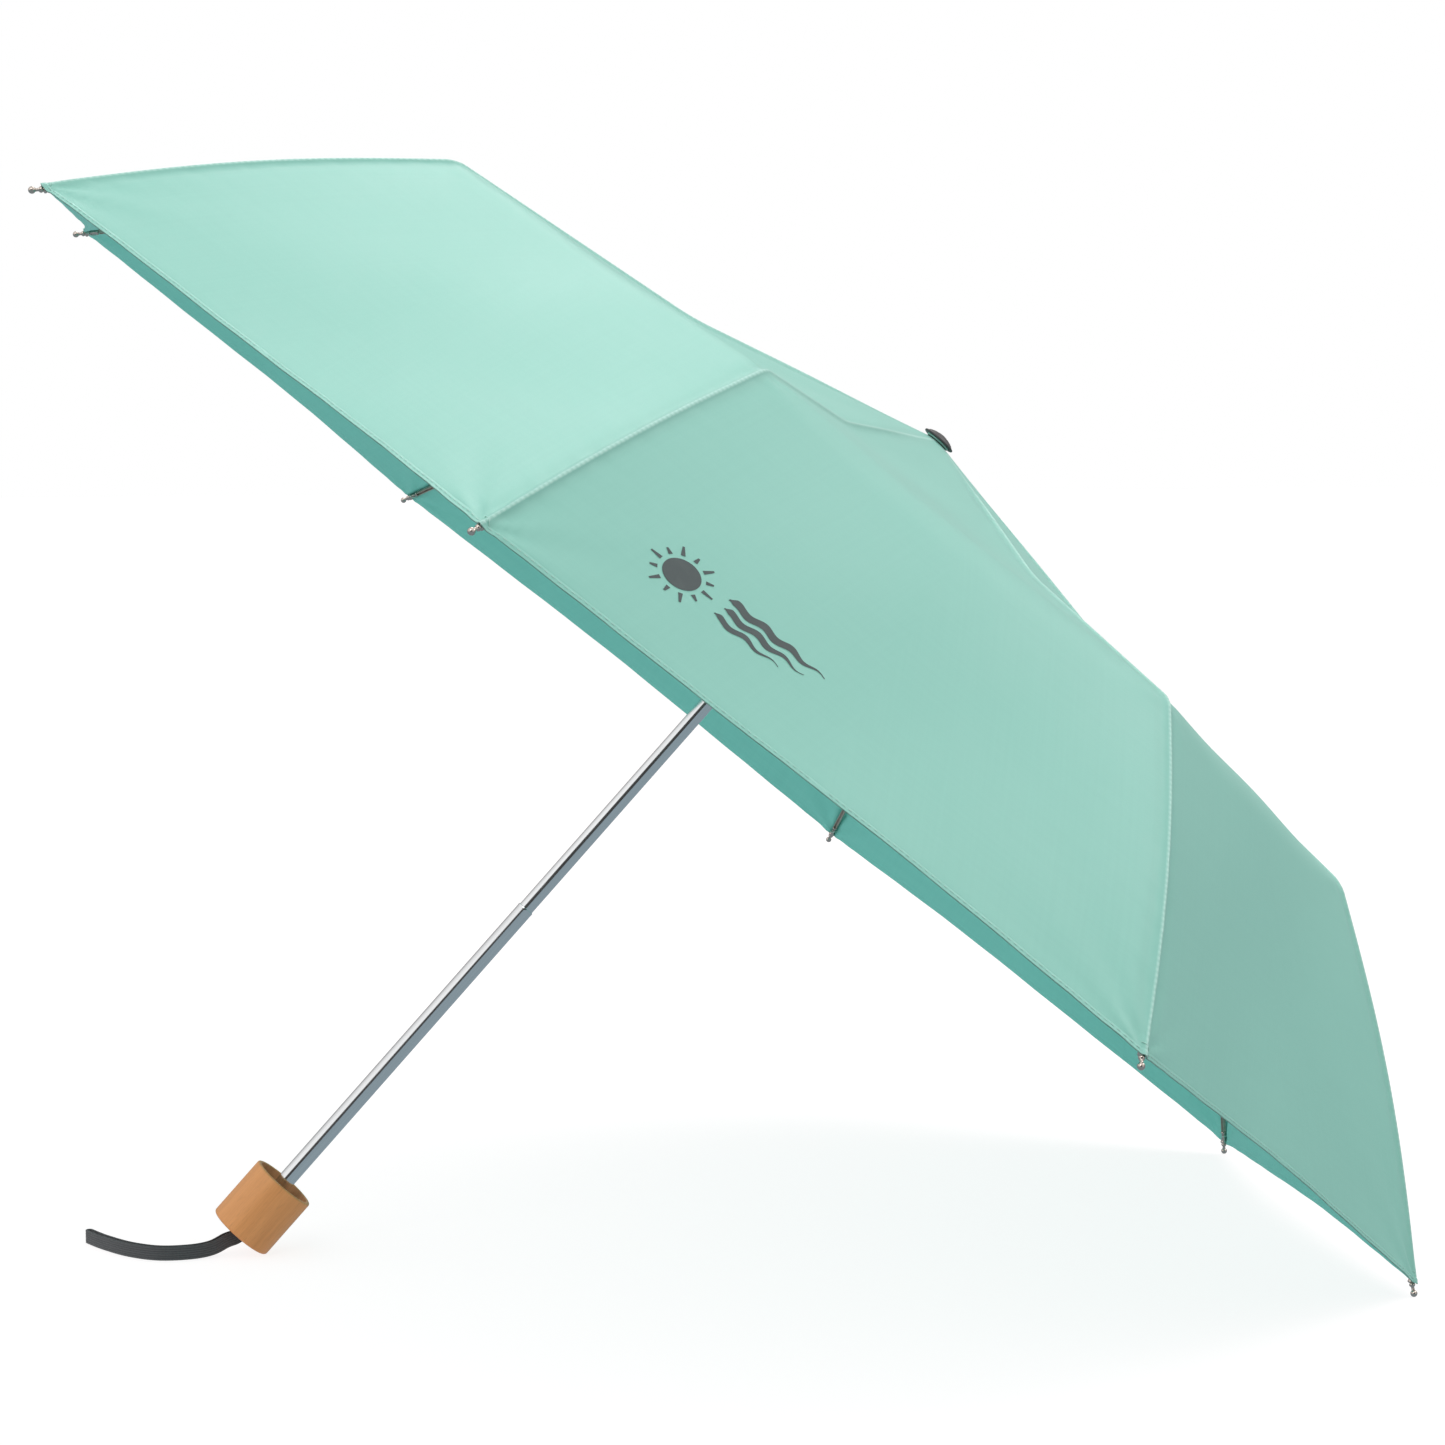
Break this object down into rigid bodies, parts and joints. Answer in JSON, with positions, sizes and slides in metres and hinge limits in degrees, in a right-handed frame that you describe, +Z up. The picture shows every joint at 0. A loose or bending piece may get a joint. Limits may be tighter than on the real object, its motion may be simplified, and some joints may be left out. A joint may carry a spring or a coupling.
{
  "type": "folding umbrella",
  "caption": "Compact folding sun and rain umbrella, open: mint fabric canopy on jointed steel ribs, telescoping chrome shaft, short wooden cup handle and a grey wrist strap",
  "frame": {"origin": "middle of the bounding box's base, on the floor the umbrella lies on; the wrist strap is left out of the box", "axes": "+Z up; the shaft lies in the XZ plane, with the handle towards -X and the crown towards +X; +Y across, along the canopy's widest line"},
  "size_m": [0.6913, 0.8978, 0.5808],
  "materials": {
    "mint_fabric": "plain woven polyester, pale mint, slightly translucent",
    "cap_plastic": "dark satin",
    "crown_nickel": "nickel plated",
    "chrome": "polished",
    "rib_steel": "dull grey-bronze plated",
    "black_plastic": "moulded satin",
    "beech_wood": "lacquered, straight lengthwise grain",
    "grey_webbing": "ribbed flat webbing"
  },
  "bodies": {
    "crown_set": {"crown": "crown_nickel", "upper_tube": "chrome", "top_cap": "cap_plastic", "canopy": "mint_fabric"},
    "runner": {"runner": "black_plastic"},
    "middle_tube": {"middle_tube": "chrome"},
    "handle_set": {"lower_tube": "chrome", "wood_handle": "beech_wood", "end_plug": "black_plastic", "wrist_strap": "grey_webbing"},
    "top_rib_1": {"top_rib_1": "rib_steel"},
    "middle_rib_1": {"middle_rib_1": "rib_steel"},
    "end_rib_1": {"end_rib_1": "rib_steel", "rib_tip_1": "chrome"},
    "stretcher_1": {"stretcher_1": "rib_steel"},
    "top_rib_2": {"top_rib_2": "rib_steel"},
    "middle_rib_2": {"middle_rib_2": "rib_steel"},
    "end_rib_2": {"end_rib_2": "rib_steel", "rib_tip_2": "chrome"},
    "stretcher_2": {"stretcher_2": "rib_steel"},
    "top_rib_3": {"top_rib_3": "rib_steel"},
    "middle_rib_3": {"middle_rib_3": "rib_steel"},
    "end_rib_3": {"end_rib_3": "rib_steel", "rib_tip_3": "chrome"},
    "stretcher_3": {"stretcher_3": "rib_steel"},
    "top_rib_4": {"top_rib_4": "rib_steel"},
    "middle_rib_4": {"middle_rib_4": "rib_steel"},
    "end_rib_4": {"end_rib_4": "rib_steel", "rib_tip_4": "chrome"},
    "stretcher_4": {"stretcher_4": "rib_steel"},
    "top_rib_5": {"top_rib_5": "rib_steel"},
    "middle_rib_5": {"middle_rib_5": "rib_steel"},
    "end_rib_5": {"end_rib_5": "rib_steel", "rib_tip_5": "chrome"},
    "stretcher_5": {"stretcher_5": "rib_steel"},
    "top_rib_6": {"top_rib_6": "rib_steel"},
    "middle_rib_6": {"middle_rib_6": "rib_steel"},
    "end_rib_6": {"end_rib_6": "rib_steel", "rib_tip_6": "chrome"},
    "stretcher_6": {"stretcher_6": "rib_steel"},
    "top_rib_7": {"top_rib_7": "rib_steel"},
    "middle_rib_7": {"middle_rib_7": "rib_steel"},
    "end_rib_7": {"end_rib_7": "rib_steel", "rib_tip_7": "chrome"},
    "stretcher_7": {"stretcher_7": "rib_steel"},
    "top_rib_8": {"top_rib_8": "rib_steel"},
    "middle_rib_8": {"middle_rib_8": "rib_steel"},
    "end_rib_8": {"end_rib_8": "rib_steel", "rib_tip_8": "chrome"},
    "stretcher_8": {"stretcher_8": "rib_steel"}
  },
  "joints": [
    {"name": "runner_slide", "type": "slide", "parent": "crown_set", "child": "runner", "axis": [-0.6704, 0, -0.742], "range_m": [0, 0.109], "deforming": ["canopy"]},
    {"name": "middle_tube_slide", "type": "slide", "parent": "crown_set", "child": "middle_tube", "axis": [0.6704, 0, 0.742], "range_m": [0, 0.14]},
    {"name": "lower_tube_slide", "type": "slide", "parent": "middle_tube", "child": "handle_set", "axis": [0.6704, 0, 0.742], "range_m": [0, 0.176]},
    {"name": "crown_hinge_1", "type": "hinge", "parent": "crown_set", "child": "top_rib_1", "pos_m": [0.13094, 0.00253, 0.4309], "axis": [-0.284, 0.9239, 0.2565], "range_deg": [0, 76.44]},
    {"name": "elbow_1", "type": "hinge", "parent": "top_rib_1", "child": "middle_rib_1", "pos_m": [0.2197, 0.06277, 0.31218], "axis": [0.284, -0.9239, -0.2565], "range_deg": [0, 167.8]},
    {"name": "knee_1", "type": "hinge", "parent": "middle_rib_1", "child": "end_rib_1", "pos_m": [0.31829, 0.12344, 0.20285], "axis": [-0.284, 0.9239, 0.2565], "range_deg": [0, 145.59]},
    {"name": "stretcher_pivot_1", "type": "hinge", "parent": "top_rib_1", "child": "stretcher_1", "pos_m": [0.17702, 0.03541, 0.36348], "axis": [0.284, -0.9239, -0.2565], "range_deg": [0, 130.32]},
    {"name": "crown_hinge_2", "type": "hinge", "parent": "crown_set", "child": "top_rib_2", "pos_m": [0.12829, 0.0061, 0.4333], "axis": [-0.6855, 0.3827, 0.6194], "range_deg": [0, 74.83]},
    {"name": "elbow_2", "type": "hinge", "parent": "top_rib_2", "child": "middle_rib_2", "pos_m": [0.15064, 0.15075, 0.36866], "axis": [0.6855, -0.3827, -0.6194], "range_deg": [0, 167.8]},
    {"name": "knee_2", "type": "hinge", "parent": "middle_rib_2", "child": "end_rib_2", "pos_m": [0.18247, 0.29676, 0.31368], "axis": [-0.6855, 0.3827, 0.6194], "range_deg": [0, 145.59]},
    {"name": "stretcher_pivot_2", "type": "hinge", "parent": "top_rib_2", "child": "stretcher_2", "pos_m": [0.13809, 0.08496, 0.39542], "axis": [0.6855, -0.3827, -0.6194], "range_deg": [0, 129.62]},
    {"name": "crown_hinge_3", "type": "hinge", "parent": "crown_set", "child": "top_rib_3", "pos_m": [0.12454, 0.0061, 0.43669], "axis": [-0.6855, -0.3827, 0.6194], "range_deg": [0, 72.57]},
    {"name": "elbow_3", "type": "hinge", "parent": "top_rib_3", "child": "middle_rib_3", "pos_m": [0.05425, 0.14943, 0.44744], "axis": [0.6855, 0.3827, -0.6194], "range_deg": [0, 167.8]},
    {"name": "knee_3", "type": "hinge", "parent": "middle_rib_3", "child": "end_rib_3", "pos_m": [-0.0076, 0.29462, 0.4687], "axis": [-0.6855, -0.3827, 0.6194], "range_deg": [0, 145.59]},
    {"name": "stretcher_pivot_3", "type": "hinge", "parent": "top_rib_3", "child": "stretcher_3", "pos_m": [0.08388, 0.08411, 0.43988], "axis": [0.6855, 0.3827, -0.6194], "range_deg": [0, 128.62]},
    {"name": "crown_hinge_4", "type": "hinge", "parent": "crown_set", "child": "top_rib_4", "pos_m": [0.12189, 0.00253, 0.43908], "axis": [-0.284, -0.9239, 0.2565], "range_deg": [0, 70.97]},
    {"name": "elbow_4", "type": "hinge", "parent": "top_rib_4", "child": "middle_rib_4", "pos_m": [-0.01281, 0.06146, 0.50221], "axis": [0.284, 0.9239, -0.2565], "range_deg": [0, 167.8]},
    {"name": "knee_4", "type": "hinge", "parent": "middle_rib_4", "child": "end_rib_4", "pos_m": [-0.14016, 0.1213, 0.57674], "axis": [-0.284, -0.9239, 0.2565], "range_deg": [0, 145.59]},
    {"name": "stretcher_pivot_4", "type": "hinge", "parent": "top_rib_4", "child": "stretcher_4", "pos_m": [0.04624, 0.03456, 0.47071], "axis": [0.284, 0.9239, -0.2565], "range_deg": [0, 127.93]},
    {"name": "crown_hinge_5", "type": "hinge", "parent": "crown_set", "child": "top_rib_5", "pos_m": [0.12189, -0.00253, 0.43908], "axis": [0.284, -0.9239, -0.2565], "range_deg": [0, 70.97]},
    {"name": "elbow_5", "type": "hinge", "parent": "top_rib_5", "child": "middle_rib_5", "pos_m": [-0.01281, -0.06146, 0.50221], "axis": [-0.284, 0.9239, 0.2565], "range_deg": [0, 167.8]},
    {"name": "knee_5", "type": "hinge", "parent": "middle_rib_5", "child": "end_rib_5", "pos_m": [-0.14016, -0.1213, 0.57674], "axis": [0.284, -0.9239, -0.2565], "range_deg": [0, 145.59]},
    {"name": "stretcher_pivot_5", "type": "hinge", "parent": "top_rib_5", "child": "stretcher_5", "pos_m": [0.04624, -0.03456, 0.47071], "axis": [-0.284, 0.9239, 0.2565], "range_deg": [0, 127.93]},
    {"name": "crown_hinge_6", "type": "hinge", "parent": "crown_set", "child": "top_rib_6", "pos_m": [0.12454, -0.0061, 0.43669], "axis": [0.6855, -0.3827, -0.6194], "range_deg": [0, 72.57]},
    {"name": "elbow_6", "type": "hinge", "parent": "top_rib_6", "child": "middle_rib_6", "pos_m": [0.05425, -0.14943, 0.44744], "axis": [-0.6855, 0.3827, 0.6194], "range_deg": [0, 167.8]},
    {"name": "knee_6", "type": "hinge", "parent": "middle_rib_6", "child": "end_rib_6", "pos_m": [-0.0076, -0.29462, 0.4687], "axis": [0.6855, -0.3827, -0.6194], "range_deg": [0, 145.59]},
    {"name": "stretcher_pivot_6", "type": "hinge", "parent": "top_rib_6", "child": "stretcher_6", "pos_m": [0.08388, -0.08411, 0.43988], "axis": [-0.6855, 0.3827, 0.6194], "range_deg": [0, 128.62]},
    {"name": "crown_hinge_7", "type": "hinge", "parent": "crown_set", "child": "top_rib_7", "pos_m": [0.12829, -0.0061, 0.4333], "axis": [0.6855, 0.3827, -0.6194], "range_deg": [0, 74.83]},
    {"name": "elbow_7", "type": "hinge", "parent": "top_rib_7", "child": "middle_rib_7", "pos_m": [0.15064, -0.15075, 0.36866], "axis": [-0.6855, -0.3827, 0.6194], "range_deg": [0, 167.8]},
    {"name": "knee_7", "type": "hinge", "parent": "middle_rib_7", "child": "end_rib_7", "pos_m": [0.18247, -0.29676, 0.31368], "axis": [0.6855, 0.3827, -0.6194], "range_deg": [0, 145.59]},
    {"name": "stretcher_pivot_7", "type": "hinge", "parent": "top_rib_7", "child": "stretcher_7", "pos_m": [0.13809, -0.08496, 0.39542], "axis": [-0.6855, -0.3827, 0.6194], "range_deg": [0, 129.62]},
    {"name": "crown_hinge_8", "type": "hinge", "parent": "crown_set", "child": "top_rib_8", "pos_m": [0.13094, -0.00253, 0.4309], "axis": [0.284, 0.9239, -0.2565], "range_deg": [0, 76.44]},
    {"name": "elbow_8", "type": "hinge", "parent": "top_rib_8", "child": "middle_rib_8", "pos_m": [0.2197, -0.06277, 0.31218], "axis": [-0.284, -0.9239, 0.2565], "range_deg": [0, 167.8]},
    {"name": "knee_8", "type": "hinge", "parent": "middle_rib_8", "child": "end_rib_8", "pos_m": [0.31829, -0.12344, 0.20285], "axis": [0.284, 0.9239, -0.2565], "range_deg": [0, 145.59]},
    {"name": "stretcher_pivot_8", "type": "hinge", "parent": "top_rib_8", "child": "stretcher_8", "pos_m": [0.17702, -0.03541, 0.36348], "axis": [-0.284, -0.9239, 0.2565], "range_deg": [0, 130.32]}
  ],
  "couplings": [
    {"joint": "crown_hinge_1", "follows": "runner_slide", "rad_per_m": 12.239},
    {"joint": "elbow_1", "follows": "runner_slide", "rad_per_m": 26.868},
    {"joint": "knee_1", "follows": "runner_slide", "rad_per_m": 23.312},
    {"joint": "stretcher_pivot_1", "follows": "runner_slide", "rad_per_m": 20.868},
    {"joint": "crown_hinge_2", "follows": "runner_slide", "rad_per_m": 11.982},
    {"joint": "elbow_2", "follows": "runner_slide", "rad_per_m": 26.868},
    {"joint": "knee_2", "follows": "runner_slide", "rad_per_m": 23.312},
    {"joint": "stretcher_pivot_2", "follows": "runner_slide", "rad_per_m": 20.755},
    {"joint": "crown_hinge_3", "follows": "runner_slide", "rad_per_m": 11.62},
    {"joint": "elbow_3", "follows": "runner_slide", "rad_per_m": 26.868},
    {"joint": "knee_3", "follows": "runner_slide", "rad_per_m": 23.312},
    {"joint": "stretcher_pivot_3", "follows": "runner_slide", "rad_per_m": 20.596},
    {"joint": "crown_hinge_4", "follows": "runner_slide", "rad_per_m": 11.363},
    {"joint": "elbow_4", "follows": "runner_slide", "rad_per_m": 26.868},
    {"joint": "knee_4", "follows": "runner_slide", "rad_per_m": 23.312},
    {"joint": "stretcher_pivot_4", "follows": "runner_slide", "rad_per_m": 20.484},
    {"joint": "crown_hinge_5", "follows": "runner_slide", "rad_per_m": 11.363},
    {"joint": "elbow_5", "follows": "runner_slide", "rad_per_m": 26.868},
    {"joint": "knee_5", "follows": "runner_slide", "rad_per_m": 23.312},
    {"joint": "stretcher_pivot_5", "follows": "runner_slide", "rad_per_m": 20.484},
    {"joint": "crown_hinge_6", "follows": "runner_slide", "rad_per_m": 11.62},
    {"joint": "elbow_6", "follows": "runner_slide", "rad_per_m": 26.868},
    {"joint": "knee_6", "follows": "runner_slide", "rad_per_m": 23.312},
    {"joint": "stretcher_pivot_6", "follows": "runner_slide", "rad_per_m": 20.596},
    {"joint": "crown_hinge_7", "follows": "runner_slide", "rad_per_m": 11.982},
    {"joint": "elbow_7", "follows": "runner_slide", "rad_per_m": 26.868},
    {"joint": "knee_7", "follows": "runner_slide", "rad_per_m": 23.312},
    {"joint": "stretcher_pivot_7", "follows": "runner_slide", "rad_per_m": 20.755},
    {"joint": "crown_hinge_8", "follows": "runner_slide", "rad_per_m": 12.239},
    {"joint": "elbow_8", "follows": "runner_slide", "rad_per_m": 26.868},
    {"joint": "knee_8", "follows": "runner_slide", "rad_per_m": 23.312},
    {"joint": "stretcher_pivot_8", "follows": "runner_slide", "rad_per_m": 20.868}
  ]
}
